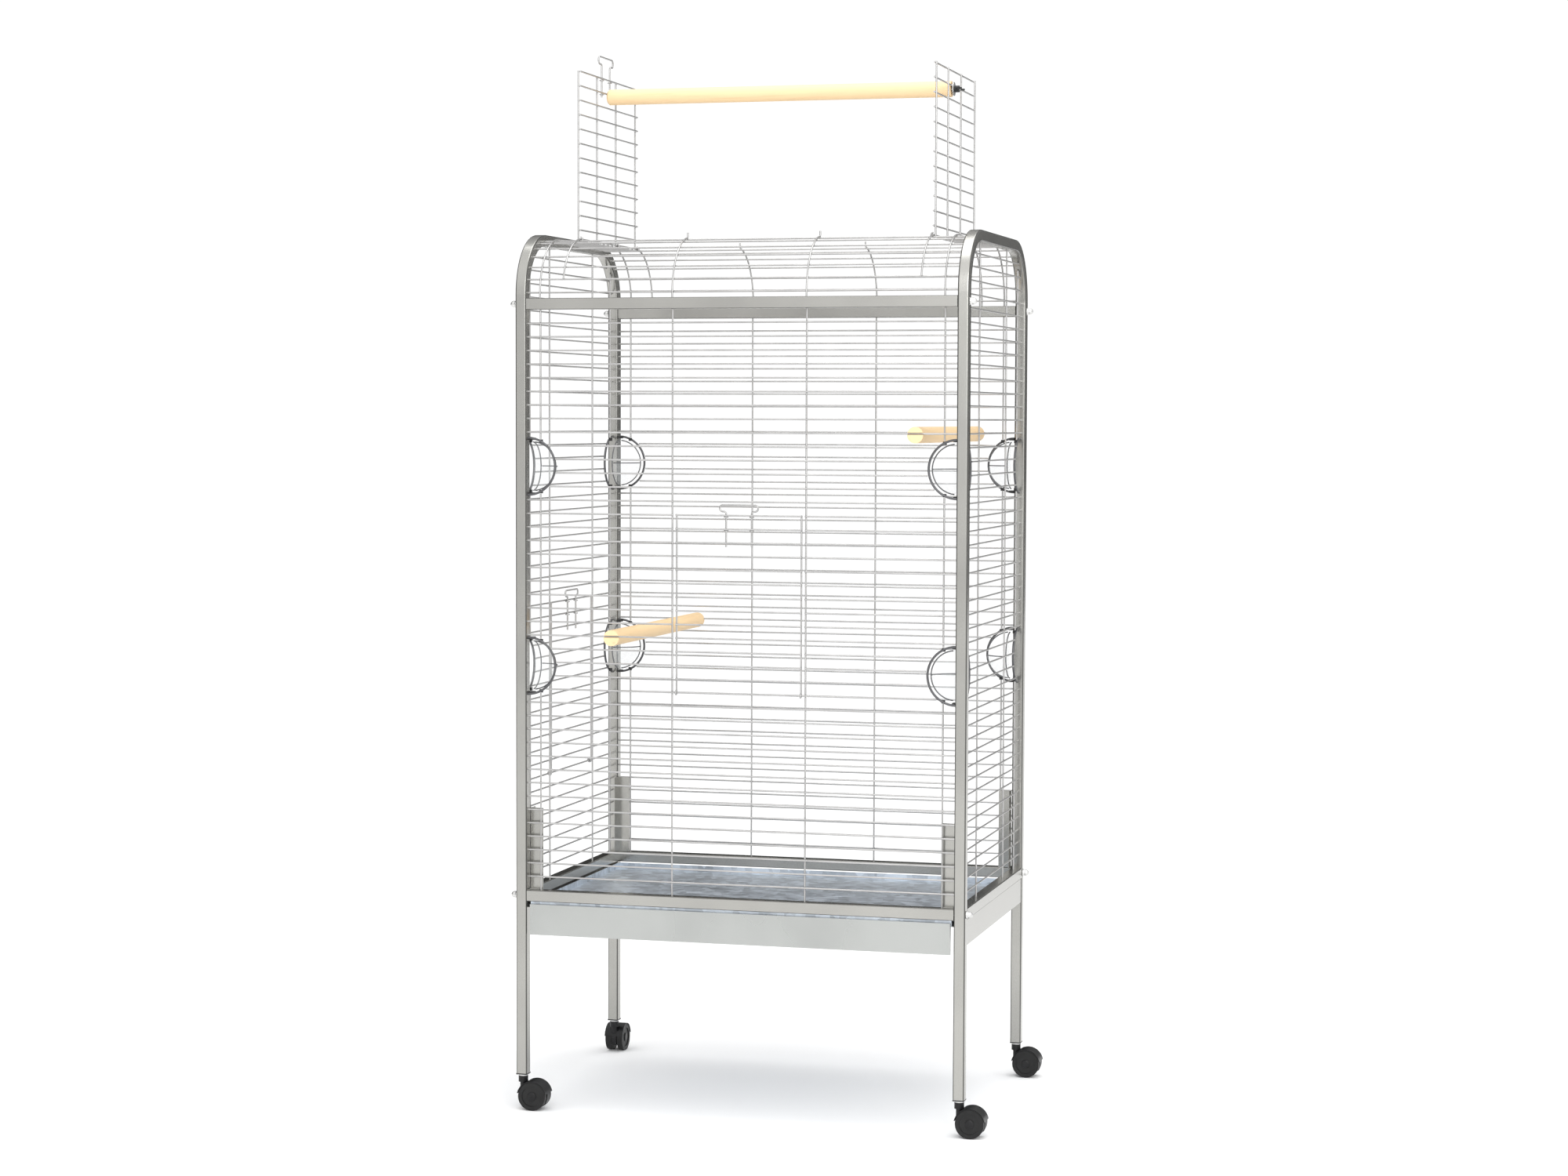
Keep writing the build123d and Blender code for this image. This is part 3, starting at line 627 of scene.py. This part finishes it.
@dataclass
class WirePanels:
    """The fixed panels of rows and uprights, with a weld at each crossing."""

    finishes: Finishes
    top_row: float = PANEL_TOP
    pitch: float = ROW_PITCH
    rows: int = ROWS
    middle: float = MIDDLE_WIRE
    edge_inset: float = 0.023
    ring_reach: float = 0.053
    cup_heights: tuple[float, ...] = tuple(CUP_HEIGHTS.values())
    inner_x: float = POST_X - 0.01
    inner_y: float = POST_Y - 0.01

    def _row(self, index: int) -> float:
        """Height of a row counted down from the top rail."""
        return self.top_row - self.pitch * (index + 1)

    def _clear_of_cups(self, height: float) -> bool:
        """Whether an edge upright is welded to the row at this height."""
        limit = math.sqrt(self.ring_reach**2 - self.edge_inset**2) + 0.002
        return all(abs(height - cup) > limit for cup in self.cup_heights)

    def _crossings(self, inner: float) -> list[tuple[float, float]]:
        """Crossings of one panel as distance across and height.

        Args:
            inner: Half the width between the posts.

        Returns:
            The crossings.
        """
        found = []
        for index in range(self.rows):
            height = self._row(index)
            for side in (-1, 1):
                found.append((side * self.middle, height))
                if self._clear_of_cups(height):
                    found.append((side * (inner - self.edge_inset), height))
        return found

    def build(self) -> None:
        """Weld the crossings of the four flat panels."""
        mesh = bmesh.new()
        for end in (-1, 1):
            points = [(x, end * POST_Y, z) for x, z in self._crossings(self.inner_x)]
            beads(mesh, points, (BEAD, BEAD_THICKNESS, BEAD))
        for side in (-1, 1):
            points = [(side * POST_X, y, z) for y, z in self._crossings(self.inner_y)]
            beads(mesh, points, (BEAD_THICKNESS, BEAD, BEAD))
        piece("panel_welds", mesh, self.finishes.wire, "frame")

    def dress(self) -> None:
        """Plate the wires."""
        dress(["front_mesh", "back_mesh", "left_mesh", "right_mesh", "roof_mesh"], self.finishes.wire)


@dataclass
class WireDoors:
    """The two bottom-hinged doors and their sliding bolts."""

    finishes: Finishes
    half: float = DOOR_HALF
    pitches: int = 13
    pitch: float = ROW_PITCH
    front_top: float = PANEL_TOP - 15 * ROW_PITCH
    side_top: float = PANEL_TOP - 22 * ROW_PITCH

    def build(self) -> None:
        """Weld the crossings of each door."""
        heights = [step * self.pitch for step in range(self.pitches)]
        mesh = bmesh.new()
        points = [(s * self.half, -POST_Y, self.front_top - h) for s in (-1, 1) for h in heights]
        beads(mesh, points, (BEAD, BEAD_THICKNESS, BEAD))
        piece("front_door_welds", mesh, self.finishes.wire, "front_door")
        mesh = bmesh.new()
        points = [(-POST_X, s * self.half, self.side_top - h) for s in (-1, 1) for h in heights]
        beads(mesh, points, (BEAD_THICKNESS, BEAD, BEAD))
        piece("side_door_welds", mesh, self.finishes.wire, "side_door")

    def dress(self) -> None:
        """Plate the doors and bolts."""
        dress(["front_door", "front_door_latch", "side_door", "side_door_latch"], self.finishes.wire)


@dataclass
class RoofFlaps:
    """The two roof flaps, the roof bolt and the play perch bolted between them."""

    finishes: Finishes
    hinge: float = 0.32
    top: float = 1.837
    pitch: float = 0.0254
    rows: int = 12
    uprights: tuple[float, ...] = (-0.0625, 0.0455)

    def build(self) -> None:
        """Weld the crossings of each flap."""
        for side, body in ((-1, "left_flap"), (1, "right_flap")):
            mesh = bmesh.new()
            points = []
            for step in range(self.rows):
                height = self.top - self.pitch * step
                points += [(side * (self.hinge + 0.0015), y, height) for y in self.uprights]
                points += [(side * (self.hinge + 0.0018), s * 0.163, height) for s in (-1, 1)]
            beads(mesh, points, (0.0017, BEAD, BEAD))
            piece(f"{body}_welds", mesh, self.finishes.wire, body)

    def dress(self) -> None:
        """Plate the wires and finish the perch and its fastening."""
        dress(["left_roof_flap", "right_roof_flap", "roof_latch"], self.finishes.wire)
        dress(["top_perch"], self.finishes.dowel_x)
        dress(["perch_bolt", "perch_washer"], self.finishes.plated)
        dress(["wing_nut"], self.finishes.black)


@dataclass
class InnerPerches:
    """The two dowels inside the cage."""

    finishes: Finishes
    names: tuple[str, ...] = ("inner_perch_left", "inner_perch_right")

    def dress(self) -> None:
        """Finish the dowels."""
        dress(self.names, self.finishes.dowel_y)


@dataclass
class CornerCups:
    """Clear cups with a dark wire bead on their rims, their rings and lugs."""

    finishes: Finishes
    pivot_x: float = 0.381
    pivot_y: float = 0.2435
    radius: float = 0.0428
    heights: dict[str, float] = field(default_factory=lambda: dict(CUP_HEIGHTS))

    def _rim(self, sx: int, sy: int, height: float) -> bmesh.types.BMesh:
        """The bead round both walls and along the lip of the bowl.

        Args:
            sx: -1 on the left, 1 on the right.
            sy: -1 at the front, 1 at the back.
            height: Height of the cup's centre.

        Returns:
            The bead's shape.
        """
        mesh = bmesh.new()
        centre = Vector((sx * self.pivot_x, sy * self.pivot_y, height))
        turns = [math.radians(-84 + 7 * step) for step in range(25)]
        wall = [centre + Vector((-sx * math.cos(t), 0, math.sin(t))) * self.radius for t in turns]
        tube(mesh, wall, 0.0011, Vector((0, 1, 0)))
        wall = [centre + Vector((0, -sy * math.cos(t), math.sin(t))) * self.radius for t in turns]
        tube(mesh, wall, 0.0011, Vector((1, 0, 0)))
        turns = [math.radians(3 + 7 * step) for step in range(13)]
        lip = [centre + Vector((-sx * math.cos(t), -sy * math.sin(t), 0)) * self.radius for t in turns]
        tube(mesh, lip, 0.001, Vector((0, 0, 1)))
        return mesh

    def build(self) -> None:
        """Add each cup's bead."""
        for end, sy in (("front", -1), ("back", 1)):
            for side, sx in (("left", -1), ("right", 1)):
                for level, height in self.heights.items():
                    name = f"feeder_{end}_{side}_{level}"
                    piece(f"{name}_bead", self._rim(sx, sy, height), self.finishes.ring, name)

    def dress(self) -> None:
        """Finish the cups, rings and lugs."""
        cups = []
        for end in ("front", "back"):
            for side in ("left", "right"):
                cups += [f"feeder_{end}_{side}_{level}" for level in self.heights]
        dress(cups, self.finishes.clear)
        dress(["feeder_rings"], self.finishes.ring)
        dress(["feeder_clips"], self.finishes.black)


@dataclass
class SlideTray:
    """The pan under the cabin and its folded front."""

    finishes: Finishes

    def dress(self) -> None:
        """Finish the pan and the front."""
        dress(["tray"], self.finishes.tray)
        dress(["drawer_front"], self.finishes.sheet_paint)


@dataclass
class TwinCasters:
    """Four swivel casters with dished twin wheels and axle caps."""

    finishes: Finishes
    trail: float = 0.021
    wheel: float = 0.05

    def build(self) -> None:
        """Turn the axle caps that close each wheel."""
        cap = [(0.0078, 0.0), (0.0078, 0.0003), (0.007, 0.0008), (0.0045, 0.0011), (0.0008, 0.0012)]
        spots = {
            "front_left": (-POST_X + self.trail, -POST_Y, (0, 1, 0)),
            "front_right": (POST_X + self.trail, -POST_Y, (0, 1, 0)),
            "back_left": (-POST_X, POST_Y + self.trail, (1, 0, 0)),
            "back_right": (POST_X + self.trail, POST_Y, (0, 1, 0)),
        }
        for name, (x, y, axis) in spots.items():
            mesh = bmesh.new()
            for side in (-1, 1):
                outward = Vector(axis) * side
                start = Vector((x, y, self.wheel / 2)) + outward * 0.0162
                lathe(mesh, cap, facing(tuple(start), tuple(outward)))
            piece(f"axle_caps_{name}", mesh, self.finishes.hood, f"wheels_{name}")

    def dress(self) -> None:
        """Finish hoods, wheels, stems and plugs."""
        places = [f"{end}_{side}" for end in ("front", "back") for side in ("left", "right")]
        dress([f"caster_hood_{place}" for place in places], self.finishes.hood)
        dress([f"caster_wheels_{place}" for place in places], self.finishes.tread)
        dress([f"caster_axle_{place}" for place in places] + ["caster_stems"], self.finishes.plated)
        dress(["leg_plugs"], self.finishes.black)


# ------------------------------------------------------------------ studio
@dataclass
class Studio:
    """Camera, pale floor and soft light."""

    azimuth: float = math.radians(15.117)
    elevation: float = math.radians(3.133)
    roll: float = math.radians(0.196)
    distance: float = 5.6036
    shift_right: float = 0.0115
    centre_height: float = 0.9193
    lens: float = 71.15

    def camera(self) -> None:
        """Stand the camera where it sees the cage three-quarters from the front."""
        az, el = self.azimuth, self.elevation
        ahead = Vector((-math.sin(az) * math.cos(el), math.cos(az) * math.cos(el), -math.sin(el)))
        right = Vector((math.cos(az), math.sin(az), 0))
        above = right.cross(ahead)
        target = MIDDLE + Vector((0, 0, self.centre_height)) + right * self.shift_right
        rolled = right * math.cos(self.roll) + above * math.sin(self.roll)
        upright = -right * math.sin(self.roll) + above * math.cos(self.roll)
        data = bpy.data.cameras.new("camera")
        data.lens = self.lens
        data.sensor_width = 36
        data.clip_end = 60
        made = bpy.data.objects.new("camera", data)
        turn = Matrix((rolled, upright, -ahead)).transposed()
        made.matrix_world = Matrix.Translation(target - ahead * self.distance) @ turn.to_4x4()
        bpy.context.scene.collection.objects.link(made)
        bpy.context.scene.camera = made

    def floor(self) -> None:
        """Lay the pale floor."""
        mesh = bmesh.new()
        bmesh.ops.create_grid(mesh, x_segments=8, y_segments=8, size=14.0)
        data = bpy.data.meshes.new("studio_floor")
        mesh.to_mesh(data)
        mesh.free()
        graph = Graph("studio_paper")
        cloud = graph.noise(0.8, 2.0)
        stops = [(0.2, (0.93, 0.93, 0.93)), (0.8, (0.96, 0.96, 0.96))]
        data.materials.append(graph.finish({"Base Color": graph.tint(cloud, stops), "Roughness": 0.9}))
        made = bpy.data.objects.new("studio_floor", data)
        made.location = (0, 0, -0.0005)
        bpy.context.scene.collection.objects.link(made)

    def lamp(self, name: str, place: Point, aim: Point, size: float, power: float) -> None:
        """Hang a square soft light.

        Args:
            name: Its name.
            place: Where it hangs.
            aim: The point it faces.
            size: Length of its side.
            power: Its power in watts.
        """
        data = bpy.data.lights.new(name, "AREA")
        data.size = size
        data.energy = power
        made = bpy.data.objects.new(name, data)
        away = Vector(place) - Vector(aim)
        made.matrix_world = Matrix.Translation(place) @ away.to_track_quat("Z", "Y").to_matrix().to_4x4()
        bpy.context.scene.collection.objects.link(made)

    def surround(self) -> None:
        """Fill the studio with soft light, whiter in front and overhead, and a white backdrop."""
        world = bpy.data.worlds.new("studio")
        world.use_nodes = True
        bpy.context.scene.world = world
        tree = world.node_tree
        tree.nodes.clear()
        where = tree.nodes.new("ShaderNodeTexCoord")
        ramp_x = tree.nodes.new("ShaderNodeVectorMath")
        ramp_x.operation = "DOT_PRODUCT"
        ramp_x.inputs[1].default_value = (0.5, -0.65, 0.8)
        level = tree.nodes.new("ShaderNodeMath")
        level.operation = "ADD"
        level.inputs[1].default_value = 0.62
        soft = tree.nodes.new("ShaderNodeBackground")
        white = tree.nodes.new("ShaderNodeBackground")
        white.inputs["Strength"].default_value = 1.05
        path = tree.nodes.new("ShaderNodeLightPath")
        mix = tree.nodes.new("ShaderNodeMixShader")
        end = tree.nodes.new("ShaderNodeOutputWorld")
        tree.links.new(where.outputs["Generated"], ramp_x.inputs[0])
        tree.links.new(ramp_x.outputs["Value"], level.inputs[0])
        tree.links.new(level.outputs[0], soft.inputs["Strength"])
        white.inputs["Color"].default_value = (1, 1, 1, 1)
        soft.inputs["Color"].default_value = (1, 1, 1, 1)
        tree.links.new(path.outputs["Is Camera Ray"], mix.inputs["Fac"])
        tree.links.new(soft.outputs[0], mix.inputs[1])
        tree.links.new(white.outputs[0], mix.inputs[2])
        tree.links.new(mix.outputs[0], end.inputs["Surface"])

    def build(self) -> None:
        """Set up the whole studio."""
        bpy.context.scene.view_settings.view_transform = "Standard"
        self.camera()
        self.floor()
        self.surround()
        self.lamp("key", (1.2, -4.2, 2.6), (0, 0, 1.0), 2.6, 70)
        self.lamp("top", (0.3, 0.2, 4.6), (0, 0, 1.0), 3.0, 70)


def main() -> None:
    """Build and dress every sub-assembly."""
    logging.basicConfig(level=logging.INFO, format="%(message)s")
    finishes = Finishes.make()
    for assembly in (
        TubeFrame(finishes),
        WirePanels(finishes),
        WireDoors(finishes),
        RoofFlaps(finishes),
        CornerCups(finishes),
        TwinCasters(finishes),
    ):
        assembly.build()
        assembly.dress()
    for assembly in (InnerPerches(finishes), SlideTray(finishes)):
        assembly.dress()
    Studio().build()


if __name__ == "__main__":
    main()
